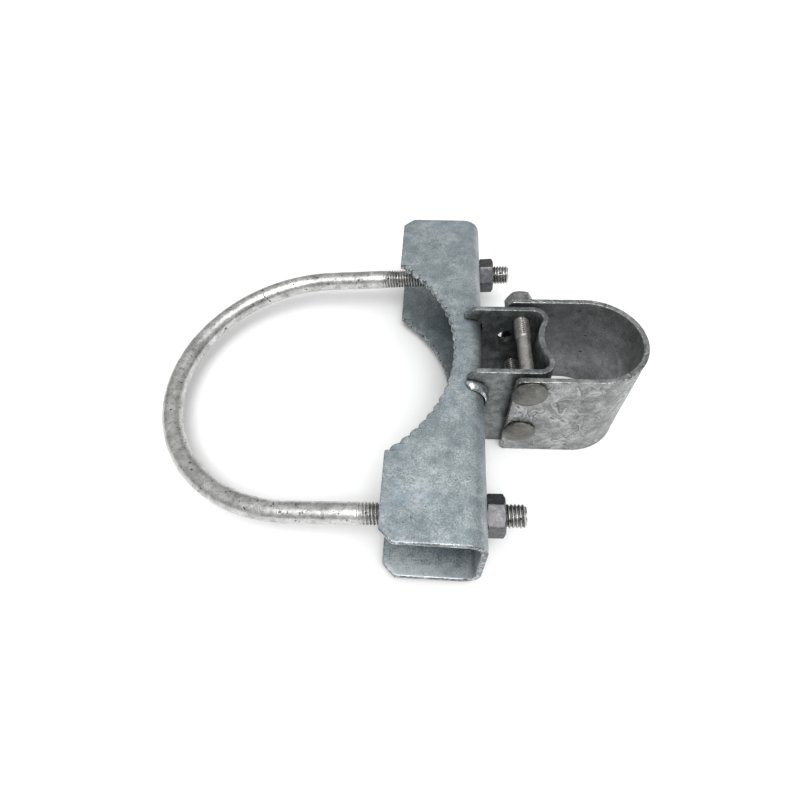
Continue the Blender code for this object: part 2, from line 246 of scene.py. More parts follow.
def cut(obj, cutters, sharp=35.0):
    """Takes the cutters' shapes out of obj for good, and removes the cutters."""
    for cutter in cutters:
        modifier = obj.modifiers.new(cutter.name, "BOOLEAN")
        modifier.operation = "DIFFERENCE"
        modifier.solver = "EXACT"
        modifier.object = cutter
    bpy.context.view_layer.update()
    evaluated = obj.evaluated_get(bpy.context.evaluated_depsgraph_get())
    cut_mesh = bpy.data.meshes.new_from_object(evaluated)
    obj.modifiers.clear()
    obj.data = cut_mesh
    cut_mesh.shade_smooth()
    cut_mesh.set_sharp_from_angle(angle=math.radians(sharp))
    for cutter in cutters:
        bpy.data.objects.remove(cutter)


def cylinder(base, axis, radius, length):
    ends = [circle(spot, axis, radius, BORE_SIDES) for spot in (base, base + axis * length)]
    return mesh_object("cutter", loft(ends))


def place(obj, material, body, node=None):
    obj.data.materials.clear()
    obj.data.materials.append(material)
    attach(obj, body)
    if node:
        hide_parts(node)
    return obj


def plate_ring(mid, normal, reach, divisions, inner_divisions, shrink=0.0, relief=None):
    """Closed section of a flat plate standing along Z: outer face, top rim, inner face, bottom rim."""
    thick = PLATE / 2 - shrink
    rim = min(RIM, thick * RIM_SHARE)
    low = -reach + shrink
    high = reach - shrink
    ring = []

    def add(across, z):
        ring.append(mid + normal * across + Z * z)

    for z in steps(low + rim, high - rim, divisions):
        add(thick - (relief(z) if relief else 0.0), z)
    for a in RISING:
        add(thick - rim * (1 - math.cos(a)), high - rim * (1 - math.sin(a)))
    for a in FALLING:
        add(-thick + rim * (1 - math.cos(a)), high - rim * (1 - math.sin(a)))
    for z in steps(high - rim, low + rim, inner_divisions):
        add(-thick, z)
    for a in RISING:
        add(-thick + rim * (1 - math.cos(a)), low + rim * (1 - math.sin(a)))
    for a in FALLING:
        add(thick - rim * (1 - math.cos(a)), low + rim * (1 - math.sin(a)))
    return ring


def path_with_normals(points):
    """(spot, left-hand normal, direction, distance travelled) at each point of a 2-D path."""
    out = []
    travelled = 0.0
    for i, point in enumerate(points):
        before = points[max(i - 1, 0)]
        after = points[min(i + 1, len(points) - 1)]
        along = (Vector(after) - Vector(before)).normalized()
        travelled += (Vector(point) - Vector(before)).length
        spot = Vector((point[0], point[1], 0.0))
        out.append((spot, Vector((-along.y, along.x, 0.0)), Vector((along.x, along.y, 0.0)), travelled))
    return out


def swept_plate(path, half_height, divisions, inner_divisions, relief=None):
    """A plate standing along Z and following a path, with rounded rims and ends."""
    def end_rings(station, inward):
        spot, normal, _, travelled = station
        rings = []
        for a in END_ROUND:
            mid = spot + inward * RIM * (1 - math.sin(a))
            shrink = RIM * (1 - math.cos(a))
            rings.append(plate_ring(mid, normal, half_height(travelled), divisions, inner_divisions, shrink))
        return rings

    stations = path_with_normals(path)
    rings = end_rings(stations[0], stations[0][2])
    for spot, normal, _, travelled in stations[1:-1]:
        face = (lambda z, u=travelled: relief(u, z)) if relief else None
        rings.append(plate_ring(spot, normal, half_height(travelled), divisions, inner_divisions, 0.0, face))
    rings += end_rings(stations[-1], -stations[-1][2])[::-1]
    return loft(rings)


def arc(cx, cy, radius, start, end, count):
    return [(cx + radius * math.cos(a), cy + radius * math.sin(a)) for a in steps(start, end, count)]


def straight(first, last, spacing):
    count = max(1, round((Vector(last) - Vector(first)).length / spacing))
    return [tuple(Vector(first).lerp(Vector(last), i / count)) for i in range(count + 1)]


# ---------------------------------------------------------------- saddle channel
def jaw_outline():
    """(edge x, edge y, web y) along the flange edge, from the near end to the far end."""
    edge = CHAN_LO.x
    end = CHAN_HI.y
    jaw = []
    for i in range(TOOTH_COUNT * TOOTH_STEPS + 1):
        share = (i % TOOTH_STEPS) / TOOTH_STEPS
        depth = (1 - math.sqrt(max(0.0, 1 - (2 * share - 1) ** 2))) ** TOOTH_ROUNDNESS
        angle = -JAW_HALF_ANGLE + 2 * JAW_HALF_ANGLE * i / (TOOTH_COUNT * TOOTH_STEPS)
        radius = JAW_R + depth * TOOTH_DEPTH
        spot = (JAW_X + radius * math.cos(angle), radius * math.sin(angle))
        if spot[0] > edge + 0.1 * MM:
            jaw.append((spot[0], spot[1], JAW_R * math.sin(angle)))
    mouth = abs(jaw[0][1]) + JAW_LEAD
    lead = []
    for share in steps(0.0, 1.0, 7):
        y = -end + CHAN_CORNER * share
        lead.append((edge + CHAN_CORNER * (1 - share), y, y))
    lead += [(edge, y, y) for y in steps(-end + CHAN_CORNER, -mouth, 30)[1:]]
    tail = [(x, -y, -w) for x, y, w in reversed(lead)]
    return lead + jaw + tail


def channel_skin(edge_x, inset, shrink):
    """(x, z) points of one skin of the channel's section, from the lower edge round to the upper edge."""
    half = CHAN_HI.z
    centre = WEB_X - CHAN_BEND_R
    reach = half - inset
    radius = CHAN_BEND_R - inset
    rise = half - CHAN_BEND_R
    start = edge_x + RIM + shrink
    quarter = steps(0.0, math.pi / 2, 10)
    points = [(x, -reach) for x in steps(start, centre, 14)[:-1]]
    points += [(centre + radius * math.sin(a), -rise - radius * math.cos(a)) for a in quarter[:-1]]
    points += [(centre + radius, z) for z in steps(-rise, rise, 16)]
    points += [(centre + radius * math.cos(a), rise + radius * math.sin(a)) for a in quarter[1:]]
    points += [(x, reach) for x in steps(centre, start, 14)[1:]]
    return points


def channel_ring(edge_x, edge_y, web_y, shrink=0.0):
    """Closed section of the channel, leaning from edge_y at the flange edges to web_y at the web."""
    ring = []
    half = CHAN_HI.z
    centre = WEB_X - CHAN_BEND_R

    def add(x, z):
        share = min(1.0, max(0.0, (x - edge_x) / (centre - edge_x)))
        ring.append(Vector((x, edge_y + (web_y - edge_y) * share ** 0.5, z)))

    for x, z in channel_skin(edge_x, shrink, shrink):
        add(x, z)
    for a in RISING:
        add(edge_x + shrink + RIM * (1 - math.sin(a)), half - shrink - RIM * (1 - math.cos(a)))
    for a in FALLING:
        add(edge_x + shrink + RIM * (1 - math.sin(a)), half - PLATE + shrink + RIM * (1 - math.cos(a)))
    for x, z in reversed(channel_skin(edge_x, PLATE - shrink, shrink)):
        add(x, z)
    for a in RISING:
        add(edge_x + shrink + RIM * (1 - math.sin(a)), -half + PLATE - shrink - RIM * (1 - math.cos(a)))
    for a in FALLING:
        add(edge_x + shrink + RIM * (1 - math.sin(a)), -half + shrink + RIM * (1 - math.cos(a)))
    return ring


def build_channel(material, edge_material):
    def end_rings(sign, x):
        rings = []
        for a in END_ROUND:
            y = sign * (CHAN_HI.y - RIM * (1 - math.sin(a)))
            rings.append(channel_ring(x, y, y, RIM * (1 - math.cos(a))))
        return rings

    outline = jaw_outline()
    rings = end_rings(-1, outline[0][0])
    rings += [channel_ring(*spot) for spot in outline[1:-1]]
    rings += end_rings(1, outline[-1][0])[::-1]
    channel = mesh_object("channel_plate", loft(rings))
    bend = WEB_X - CHAN_BEND_R
    cut(channel, [cylinder(Vector((bend, side * LEG_Y, 0.0)), X, LEG_HOLE_R, 2 * CHAN_BEND_R) for side in (-1, 1)])
    place(channel, material, "clamp_body", "saddle_channel")
    channel.data.materials.append(edge_material)
    for face in channel.data.polygons:
        at_end = abs(face.center.y) > CHAN_HI.y - 0.4 * MM
        in_flange = abs(face.center.z) > CHAN_HI.z - PLATE and face.center.x < bend
        face.material_index = int(at_end or (in_flange and abs(face.normal.z) < 0.7))
    return channel


# ---------------------------------------------------------------- bracket and strap
def bracket_path():
    """Middle line of the folded bracket, from the far plate's end round to the near plate's end."""
    half = PLATE / 2
    corner_y = BRK_HALF_W - BRK_CORNER_R
    towards = math.atan2(-corner_y, BRK_SADDLE - BRK_CORNER)
    side = straight((BRK_END, BRK_HALF_W - half), (BRK_CORNER, BRK_HALF_W - half), 1.5 * MM)[:-1]
    side += arc(BRK_CORNER, corner_y, BRK_CORNER_R - half, math.pi / 2, towards, 22)
    side += arc(BRK_SADDLE, 0.0, BRK_SADDLE_R + half, math.pi + towards, math.pi, 12)[1:]
    return side + [(x, -y) for x, y in reversed(side[:-1])]


def build_bracket(material):
    def half_height(travelled):
        nearest = min(travelled, total - travelled)
        return BRK_H / 2 - max(0.0, BRK_END_CHAMFER - nearest)

    path = bracket_path()
    total = path_with_normals(path)[-1][3]
    bracket = mesh_object("bracket_plate", swept_plate(path, half_height, BRK_DIVISIONS, BRK_DIVISIONS), COLLAR)
    rise = CHAN_HI.z + NOTCH_GAP - NOTCH_R
    centre = WEB_X + NOTCH_GAP - NOTCH_R
    outline = [(CHAN_LO.x, -rise - NOTCH_R)] + arc(centre, -rise, NOTCH_R, -math.pi / 2, 0.0, 10)
    outline += arc(centre, rise, NOTCH_R, 0.0, math.pi / 2, 10) + [(CHAN_LO.x, rise + NOTCH_R)]
    reach = 2 * BRK_HALF_W
    cutters = [mesh_object("notch", loft([[Vector((x, y, z)) for x, z in outline] for y in (-reach, reach)]))]
    axis = COLLAR.to_3x3() @ Y
    for z in BOLT_Z.values():
        cutters.append(cylinder(COLLAR @ Vector((BOLT_OUT, -reach, z)), axis, CB_HOLE_R, 2 * reach))
    x, z, radius = SPARE_HOLE
    cutters.append(cylinder(COLLAR @ Vector((x, 0.0, z)), axis, radius, reach))
    cut(bracket, cutters)
    return place(bracket, material, "clamp_body", "hinge_bracket")


def crease(spot, scale, width):
    """1 on a wandering line of the folded zinc skin, fading to 0 within width of it."""
    side_shift = noise.noise(spot * scale * 0.8 + Vector((9.1, 4.2, 0.0)))
    warp = Vector((side_shift, noise.noise(spot * scale * 0.8), 0.0))
    line = abs(noise.noise(spot * scale + warp * 1.3))
    broken = noise.noise(spot * scale * 0.5 + Vector((3.0, 8.0, 1.0)))
    mask = min(1.0, max(0.0, broken * 3.0 + 0.6))
    return math.exp(-((line / width) ** 2)) * mask


def strap_relief(travelled, z):
    """How far the strap's outer face lies under its full thickness: thin folds of zinc on a wavy face."""
    spot = Vector((travelled, z * 1.25, 3.7 * MM)) * 1000.0
    folds = max(crease(spot, 0.055, 0.05), 0.7 * crease(spot + Vector((50.0, 20.0, 0.0)), 0.11, 0.07))
    wave = noise.noise(spot * 0.035 + Vector((20.0, 3.0, 5.0)))
    return (0.34 - 0.18 * folds - 0.12 * wave) * MM


def build_strap(material, inner_material):
    mid = STRAP_HALF_W - PLATE / 2

    def half_height(travelled):
        nearest = min(travelled, total - travelled)
        return STRAP_H / 2 - max(0.0, STRAP_CORNER - nearest)

    def relief(travelled, z):
        edge = min(travelled, total - travelled, (STRAP_H / 2 - abs(z)) * 2)
        return strap_relief(travelled, z) * min(1.0, max(0.0, edge / RELIEF_FADE))

    turn_steps = round(math.pi * mid / STRAP_SPACING)
    path = straight((STRAP_END, -mid), (STRAP_ROUND, -mid), STRAP_SPACING)[:-1]
    path += arc(STRAP_ROUND, 0.0, mid, -math.pi / 2, math.pi / 2, turn_steps)
    path += straight((STRAP_ROUND, mid), (STRAP_END, mid), STRAP_SPACING)[1:]
    path = path[::-1]
    total = path_with_normals(path)[-1][3]
    shape = swept_plate(path, half_height, STRAP_DIVISIONS, STRAP_INNER_DIVISIONS, relief)
    strap = mesh_object("strap_plate", shape, COLLAR, 50.0)
    axis = COLLAR.to_3x3() @ Y
    size = CB_NECK_HALF + GAP
    cutters = []
    for z in BOLT_Z.values():
        cutters.append(cylinder(COLLAR @ Vector((BOLT_OUT, 0.0, z)), axis, CB_HOLE_R, 2 * STRAP_HALF_W))
        corners = ((-1, -1), (1, -1), (1, 1), (-1, 1))
        square = [Vector((BOLT_OUT + a * size, 0.0, z + b * size)) for a, b in corners]
        rings = [[point + Y * y for point in square] for y in (-2 * STRAP_HALF_W, 0.0)]
        cutters.append(mesh_object("square", loft(rings), COLLAR))
    cut(strap, cutters, 50.0)
    place(strap, material, "clamp_body", "collar_strap")
    strap.data.materials.append(inner_material)
    for face in strap.data.polygons:
        middle = COLLAR @ Vector((min(STRAP_ROUND, (COLLAR.inverted() @ face.center).x), 0.0, 0.0))
        outward = Vector((face.center.x - middle.x, face.center.y - middle.y, 0.0))
        face.material_index = int(abs(face.normal.z) < 0.6 and face.normal.dot(outward) < 0.0)
    return strap


# ---------------------------------------------------------------- threaded pieces
def thread_depth(phase):
    """0 on the crest and 1 in the root, with narrow flats on both."""
    wave = abs(2 * (phase % 1.0) - 1)
    return min(1.0, max(0.0, (wave - 0.22) / 0.66))


def threaded_ring(spot, along, radius, depth, travelled, pitch, sides):
    ring = []
    for i, point in enumerate(circle(spot, along, 1.0, sides)):
        r = radius - depth * thread_depth(travelled / pitch - i / sides)
        ring.append(spot + (point - spot) * r)
    return ring


def leg_stations():
    """(distance out, radius, thread depth) from a leg's tip to the start of its bend."""
    stations = []
    step = ROD_PITCH / RINGS_PER_PITCH
    count = round((TIP_OUT - ROD_THREAD_FROM) / step)
    for i in range(count + 1):
        out = TIP_OUT - i * step
        tip = max(0.0, TIP_CHAMFER - (TIP_OUT - out))
        fade = min(1.0, (out - ROD_THREAD_FROM) / (ROD_THREAD_RUNOUT * ROD_PITCH))
        stations.append((out, ROD_R - tip, max(0.0, ROD_THREAD_DEPTH * fade - tip * TIP_THREAD_LOSS)))
    last = stations[-1][0]
    stations += [(out, ROD_R, 0.0) for out in steps(last, -BEND_BACK, 10)[1:-1]]
    return stations


def build_u_bolt(material):
    rings = []
    leg = leg_stations()
    for out, radius, depth in leg:
        spot = LEG_ROOT + LEG_AXIS * out + Y * LEG_Y
        rings.append(threaded_ring(spot, -LEG_AXIS, radius, depth, -out, ROD_PITCH, ROD_SIDES))
    for a in steps(math.pi / 2, 3 * math.pi / 2, ROD_BEND_STEPS):
        spot = LEG_ROOT + LEG_AXIS * (LEG_Y * math.cos(a) - BEND_BACK) + Y * LEG_Y * math.sin(a)
        along = math.cos(a) * Y - math.sin(a) * LEG_AXIS
        rings.append(circle(spot, along, ROD_R, ROD_SIDES))
    for out, radius, depth in reversed(leg):
        spot = LEG_ROOT + LEG_AXIS * out - Y * LEG_Y
        rings.append(threaded_ring(spot, LEG_AXIS, radius, depth, out, ROD_PITCH, ROD_SIDES))
    rod = mesh_object("u_bolt_rod", loft(rings), None, 40.0)
    return place(rod, material, "u_bolt", "u_bolt")


def build_nut(name, node, material, base, axis, flats, thickness, bore_r, turn, pitch):
    """A hexagonal nut with chamfered rims, soft corners and a threaded bore."""
    flat_r = flats / 2
    soft = NUT_CORNER_SHARE * flats / math.sqrt(3.0)
    inner = flat_r * NUT_FACE_SHARE
    rise = (soft - inner) * math.tan(NUT_CHAMFER)
    profile = [(rise * share, inner + (soft - inner) * share) for share in steps(0.0, 1.0, 8)]
    profile += [(thickness - at, radius) for at, radius in reversed(profile)]

    def hex_radius(angle):
        within = (angle % (TAU / 6)) - TAU / 12
        return flat_r / math.cos(within)

    rings = [[base + (p - base) * (bore_r + COUNTERSINK) for p in circle(base, axis, 1.0, NUT_SIDES, turn)]]
    for at, limit in profile:
        centre = base + axis * at
        ring = []
        for i, point in enumerate(circle(centre, axis, 1.0, NUT_SIDES, turn)):
            angle = TAU * i / NUT_SIDES
            ring.append(centre + (point - centre) * min(hex_radius(angle + TAU / 12), limit, soft))
        rings.append(ring)
    for at in reversed(steps(0.0, thickness, round(thickness / pitch * RINGS_PER_NUT_PITCH))):
        centre = base + axis * at
        radius = bore_r + max(0.0, COUNTERSINK - min(at, thickness - at))
        ring = []
        for i, point in enumerate(circle(centre, axis, 1.0, NUT_SIDES, turn)):
            groove = NUT_GROOVE * thread_depth(at / pitch - i / NUT_SIDES)
            fade = min(1.0, min(at, thickness - at) / GROOVE_FADE)
            ring.append(centre + (point - centre) * (radius + groove * fade))
        rings.append(ring)
    nut = mesh_object(name, loft(rings, capped=False), None, 28.0)
    return place(nut, material, node, node)


def neck_ring(centre, y, size):
    """A square with soft corners across the bolt's axis."""
    ring = []
    for a, b in ((-1, -1), (1, -1), (1, 1), (-1, 1)):
        inner = Vector((a * (size - CB_NECK_SOFT), 0.0, b * (size - CB_NECK_SOFT)))
        start = math.atan2(b, a) - math.pi / 4
        for angle in steps(start, start + math.pi / 2, 3):
            bulge = Vector((math.cos(angle), 0.0, math.sin(angle))) * CB_NECK_SOFT
            ring.append(centre + inner + Y * y + bulge)
    return ring


def build_carriage_bolt(level, material, shank_material):
    seat = -STRAP_HALF_W - GAP
    neck_end = seat + CB_NECK_L
    centre = Vector((BOLT_OUT, 0.0, BOLT_Z[level]))
    head = []
    for share in CB_DOME_SHARES:
        dome = CB_HEAD_RIM + (CB_HEAD_T - CB_HEAD_RIM) * (1 - share ** CB_DOME_POWER)
        head.append(circle(centre + Y * (seat - dome), Y, share * CB_HEAD_R, CB_SIDES))
    for share, y in ((1.0, seat - CB_HEAD_RIM * 0.75), (1.0, seat - CB_HEAD_RIM * 0.25), (0.97, seat)):
        head.append(circle(centre + Y * y, Y, CB_HEAD_R * share, CB_SIDES))
    neck = [neck_ring(centre, seat - 0.4 * MM, CB_NECK_HALF),
            neck_ring(centre, neck_end - 0.6 * MM, CB_NECK_HALF),
            neck_ring(centre, neck_end, CB_NECK_HALF - 0.7 * MM)]
    plain = steps(neck_end - MM, CB_THREAD_Y - 0.8 * MM, 12)
    shank = [circle(centre + Y * y, Y, CB_SHANK_R, CB_SIDES) for y in plain]
    step = CB_PITCH / RINGS_PER_PITCH
    for i in range(round((CB_TIP_Y - CB_THREAD_Y) / step) + 1):
        y = CB_THREAD_Y + i * step
        tip = max(0.0, MM - (CB_TIP_Y - y))
        start = min(1.0, (y - CB_THREAD_Y) / (CB_THREAD_RUNOUT * CB_PITCH))
        radius = CB_SHANK_R + (CB_THREAD_R - CB_SHANK_R) * start - tip
        depth = max(0.0, CB_THREAD_DEPTH * start - tip * TIP_THREAD_LOSS)
        shank.append(threaded_ring(centre + Y * y, Y, radius, depth, y, CB_PITCH, CB_SIDES))
    bolt = mesh_object(f"bolt_{level}", joined(loft(head), loft(neck), loft(shank)), COLLAR, 40.0)
    place(bolt, material, f"carriage_bolt_{level}", f"carriage_bolt_{level}")
    bolt.data.materials.append(shank_material)
    for face in bolt.data.polygons:
        face.material_index = int(face.center.y > COLLAR_Y + neck_end)
    return bolt


# ---------------------------------------------------------------- weld beads
def build_weld(side, sign, level, up, material):
    """A bead laid round the channel's bend against a bracket plate, swollen in overlapping lumps."""
    turn = CHAN_BEND_R * math.pi / 2
    length = WELD_DOWN_WEB + turn + WELD_ON_FLANGE[side]
    centre = Vector((-CHAN_BEND_R, 0.0, CHAN_HI.z - CHAN_BEND_R))
    rings = []
    for at in steps(0.0, length, WELD_RINGS):
        along = at - WELD_DOWN_WEB
        angle = min(math.pi / 2, max(0.0, along / CHAN_BEND_R))
        outward = Vector((math.cos(angle), 0.0, math.sin(angle)))
        spot = centre + outward * (CHAN_BEND_R + GAP) + min(0.0, along) * Z - max(0.0, along - turn) * X
        share = at / length
        swell = max(0.02, 1 - abs(2 * share - 1) ** 5) ** 0.5
        lump = 0.88 + 0.12 * abs(math.sin(3.0 * math.pi * share + sign))
        ring = []
        for across, height in WELD_SECTION:
            rough = 1.0 + 0.08 * noise.noise(Vector((at * 500.0, across * 3.0, sign + 2.0 * up)))
            reach = across * WELD_W[side] * swell * (0.9 + 0.1 * lump)
            lift = outward * height * WELD_T[side] * swell * lump * rough
            point = spot + sign * (BRK_HALF_W + GAP + reach) * Y + lift
            ring.append(Vector((point.x, point.y, up * point.z)))
        rings.append(ring)
    bead = mesh_object(f"weld_bead_{side}_{level}", loft(rings), COLLAR, 60.0)
    return place(bead, material, "clamp_body", f"weld_{side}_{level}")


# ---------------------------------------------------------------- material helpers
# The zinc's patterns, in noise cells per metre
GRAIN_SCALE = 1500.0
SPANGLE_SCALE = 260.0
PIT_SCALE = 420.0
VEIN_SCALE = 330.0
VEIN_PATCH_SCALE = 85.0
WORN_SPOT_SCALE = 700.0
FOLD_SCALES = ((24.0, 3.0), (47.0, 2.5))  # with the noise's detail
WORN_REACH = 1.1
# Painted light on the lower flange's inside at the channel's open ends, in metres: where it starts along Y and how
# soon it is full, then the same below Z
END_LIGHT_FROM = 0.104
END_LIGHT_LENGTH = 0.016
END_LIGHT_UNDER = -0.0185
END_LIGHT_FALL = 0.0045


def nodes_of(name):
    material = bpy.data.materials.new(name)
    material.use_nodes = True
    tree = material.node_tree
    return material, tree, tree.nodes["Principled BSDF"]


def link(tree, source, socket):
    tree.links.new(source, socket)


def noise_of(tree, coord, scale, detail=4.0, rough=0.55, distortion=0.0):
    node = tree.nodes.new("ShaderNodeTexNoise")
    node.inputs["Scale"].default_value = scale
    node.inputs["Detail"].default_value = detail
    node.inputs["Roughness"].default_value = rough
    node.inputs["Distortion"].default_value = distortion
    link(tree, coord, node.inputs["Vector"])
    return node.outputs["Fac"]


def maths(tree, operation, first, second):
    node = tree.nodes.new("ShaderNodeMath")
    node.operation = operation
    for socket, value in ((node.inputs[0], first), (node.inputs[1], second)):
        if isinstance(value, (int, float)):
            socket.default_value = value
        else:
            link(tree, value, socket)
    return node.outputs[0]


def product(tree, first, second):
    return maths(tree, "MULTIPLY", first, second)


def centred(tree, value, weight):
    """Noise value about 0.5, as a swing of the given weight about 0."""
    return product(tree, maths(tree, "SUBTRACT", value, 0.5), weight)


def ramp(tree, value, stops):
    node = tree.nodes.new("ShaderNodeValToRGB")
    elements = node.color_ramp.elements
    while len(elements) < len(stops):
        elements.new(0.5)
    for element, (at, colour) in zip(elements, stops):
        element.position = at
        element.color = (*colour, 1.0) if isinstance(colour, tuple) else (colour, colour, colour, 1.0)
    link(tree, value, node.inputs["Fac"])
    return node.outputs["Color"]


def mixed(tree, factor, first, second, kind="MIX"):
    node = tree.nodes.new("ShaderNodeMix")
    node.data_type = "RGBA"
    node.blend_type = kind
    for socket, value in ((node.inputs[0], factor), (node.inputs[6], first), (node.inputs[7], second)):
        if isinstance(value, tuple):
            socket.default_value = (*value, 1.0)
        elif isinstance(value, (int, float)):
            socket.default_value = value
        else:
            link(tree, value, socket)
    return node.outputs[2]


def scaled(colour, share):
    return tuple(min(1.0, c * share) for c in colour)


def occlusion(tree, reach, samples, inside=False):
    node = tree.nodes.new("ShaderNodeAmbientOcclusion")
    node.inside = inside
    node.samples = samples
    node.inputs["Distance"].default_value = reach * MM
    return node.outputs["AO"]


def streak_tone(tree, coord, streaks):
    """Thin pale veins of zinc, in patches."""
    vein = ramp(tree, noise_of(tree, coord, VEIN_SCALE, 3.0, 0.6, 2.2), ((0.44, 0.0), (0.5, 1.0), (0.56, 0.0)))
    where = ramp(tree, noise_of(tree, coord, VEIN_PATCH_SCALE, 3.0, 0.6, 0.5), ((0.4, 0.0), (0.65, 1.0)))
    return product(tree, product(tree, vein, where), streaks)


def painted_end_light(tree, coord, grain):
    """Painted light: a pale speckled pool on the lower flange's inside at both open ends of the channel, where
    light falls in.
    """
    spot = tree.nodes.new("ShaderNodeSeparateXYZ")
    link(tree, coord, spot.inputs["Vector"])
    past = maths(tree, "SUBTRACT", maths(tree, "ABSOLUTE", spot.outputs["Y"], 0.0), END_LIGHT_FROM)
    from_end = maths(tree, "DIVIDE", past, END_LIGHT_LENGTH)
    below = maths(tree, "DIVIDE", maths(tree, "SUBTRACT", END_LIGHT_UNDER, spot.outputs["Z"]), END_LIGHT_FALL)
    end_light = maths(tree, "ADD", maths(tree, "MINIMUM", from_end, below), centred(tree, grain, 5.0))
    edge = ramp(tree, end_light, ((0.2, 0.0), (0.9, 1.0)))
    return product(tree, product(tree, edge, maths(tree, "GREATER_THAN", below, 0.1)), 1.1)


def fold_shade_and_highlight(tree, coord):
    """(groove, ridge_highlight): painted shade on the dark side and painted highlight on the pale side of
    wandering folds, coarse and fine ones together.
    """
    groove, ridge_highlight = None, None
    for scale, detail in FOLD_SCALES:
        fold = noise_of(tree, coord, scale, detail, 0.55, 0.5)
        where = ramp(tree, noise_of(tree, coord, scale * 1.4, 2.0, 0.5, 0.0), ((0.44, 0.0), (0.53, 1.0)))
        width = scale / FOLD_SCALES[0][0]
        dark_stops = ((0.5 - 0.014 * width, 0.0), (0.5 - 0.006 * width, 1.0), (0.5, 0.0))
        pale_stops = ((0.499, 0.0), (0.5 + 0.008 * width, 1.0), (0.5 + 0.02 * width, 0.0))
        dip = product(tree, ramp(tree, fold, dark_stops), where)
        rise = product(tree, ramp(tree, fold, pale_stops), where)
        groove = maths(tree, "MAXIMUM", groove, dip) if groove else dip
        ridge_highlight = maths(tree, "MAXIMUM", ridge_highlight, rise) if ridge_highlight else rise
    return groove, ridge_highlight


def worn_edges(tree, coord, colour, dark, light, wear):
    """Dark lines and bright specks along convex edges."""
    edge = ramp(tree, occlusion(tree, WORN_REACH, 4, inside=True), ((0.5, 1.0), (0.93, 0.0)))
    spots = noise_of(tree, coord, WORN_SPOT_SCALE, 3.0, 0.7, 0.8)
    dull = product(tree, edge, ramp(tree, spots, ((0.44, wear), (0.52, 0.6 * wear))))
    colour = mixed(tree, dull, colour, scaled(dark, 0.25))
    shiny = product(tree, edge, ramp(tree, spots, ((0.53, 0.0), (0.58, wear))))
    return mixed(tree, shiny, colour, scaled(light, 1.9))


def zinc(name, dark, mid, light, metallic, rough, mottle=60.0, speckle=0.25, pits=0.0, bump=0.12,
         painted_shade=0.35, reach=9.0, contrast=1.0, patchy=1.3, streaks=0.0, wear=0.0, folds=0.0, lit_ends=False,
         stain=None, stain_scale=190.0):
    """Galvanised or plated steel: cloudy tone, crystal spangle, fine speckle, pits, and painted shade from
    occlusion in corners, recesses and under things.

    mottle is in noise cells per metre, and reach is how far the painted shade reaches out of a corner, in
    millimetres."""
    material, tree, shader = nodes_of(name)
    coord = tree.nodes.new("ShaderNodeTexCoord").outputs["Object"]
    cloud = noise_of(tree, coord, mottle, 5.0, 0.6, 0.4)
    patch = noise_of(tree, coord, mottle * 4.5, 6.0, 0.65, 0.3)
    grain = noise_of(tree, coord, GRAIN_SCALE, 4.0, 0.75)
    crystal = tree.nodes.new("ShaderNodeTexVoronoi")
    crystal.inputs["Scale"].default_value = SPANGLE_SCALE
    link(tree, coord, crystal.inputs["Vector"])
    spangle = tree.nodes.new("ShaderNodeSeparateColor")
    link(tree, crystal.outputs["Color"], spangle.inputs["Color"])

    tone = centred(tree, cloud, 1.5 * contrast)
    tone = maths(tree, "ADD", tone, centred(tree, patch, patchy * contrast))
    tone = maths(tree, "ADD", tone, centred(tree, spangle.outputs["Red"], 0.22 * contrast))
    tone = maths(tree, "ADD", tone, centred(tree, grain, speckle * 4.0))
    if streaks:
        tone = maths(tree, "ADD", tone, streak_tone(tree, coord, streaks))
    # painted light: a pale pool on the lower flange inside the channel's open ends
    if lit_ends:
        tone = maths(tree, "ADD", tone, painted_end_light(tree, coord, grain))
    tone = maths(tree, "ADD", tone, 0.5)
    colour = ramp(tree, tone, ((0.0, dark), (0.5, mid), (1.0, light)))
    height = maths(tree, "ADD", product(tree, patch, 0.8), product(tree, grain, 0.25))

    if pits:
        pit = noise_of(tree, coord, PIT_SCALE, 2.0, 0.5, 0.6)
        rim = 1.0 - pits
        hole = ramp(tree, pit, ((0.0, 0.0), (rim, 0.0), (min(0.999, rim + 0.05), 1.0)))
        colour = mixed(tree, hole, colour, scaled(dark, 0.22))
        height = maths(tree, "SUBTRACT", height, product(tree, hole, 0.9))
    if stain:
        blot = noise_of(tree, coord, stain_scale, 4.0, 0.6, 1.0)
        colour = mixed(tree, ramp(tree, blot, ((0.55, 0.0), (0.72, 0.55))), colour, stain)
    if folds:
        # painted shade in the fold grooves and painted highlight on the fold ridges; the same lines also give real
        # bump relief
        groove, ridge_highlight = fold_shade_and_highlight(tree, coord)
        groove_shade_paint = product(tree, product(tree, groove, patch), 1.5 * folds)
        colour = mixed(tree, groove_shade_paint, colour, scaled(dark, 0.6))
        colour = mixed(tree, product(tree, ridge_highlight, 0.75 * folds), colour, scaled(light, 1.3))
        lift = product(tree, maths(tree, "SUBTRACT", ridge_highlight, groove), 1.2 * folds)
        height = maths(tree, "ADD", height, lift)
    if wear:
        colour = worn_edges(tree, coord, colour, dark, light, wear)
    # painted shade: ambient occlusion within reach darkens the colour in corners, recesses, inside the channel and
    # under things
    if painted_shade:
        shade = ramp(tree, occlusion(tree, reach, 6), ((0.25, 1.0 - painted_shade), (0.9, 1.0)))
        colour = mixed(tree, 1.0, colour, shade, "MULTIPLY")
    link(tree, colour, shader.inputs["Base Color"])

    shader.inputs["Metallic"].default_value = metallic
    gloss = maths(tree, "ADD", centred(tree, patch, 0.45), rough)
    gloss = maths(tree, "ADD", gloss, centred(tree, spangle.outputs["Green"], 0.10))
    link(tree, gloss, shader.inputs["Roughness"])
    relief = tree.nodes.new("ShaderNodeBump")
    relief.inputs["Strength"].default_value = 1.0
    relief.inputs["Distance"].default_value = bump * MM
    link(tree, height, relief.inputs["Height"])
    link(tree, relief.outputs["Normal"], shader.inputs["Normal"])
    return material
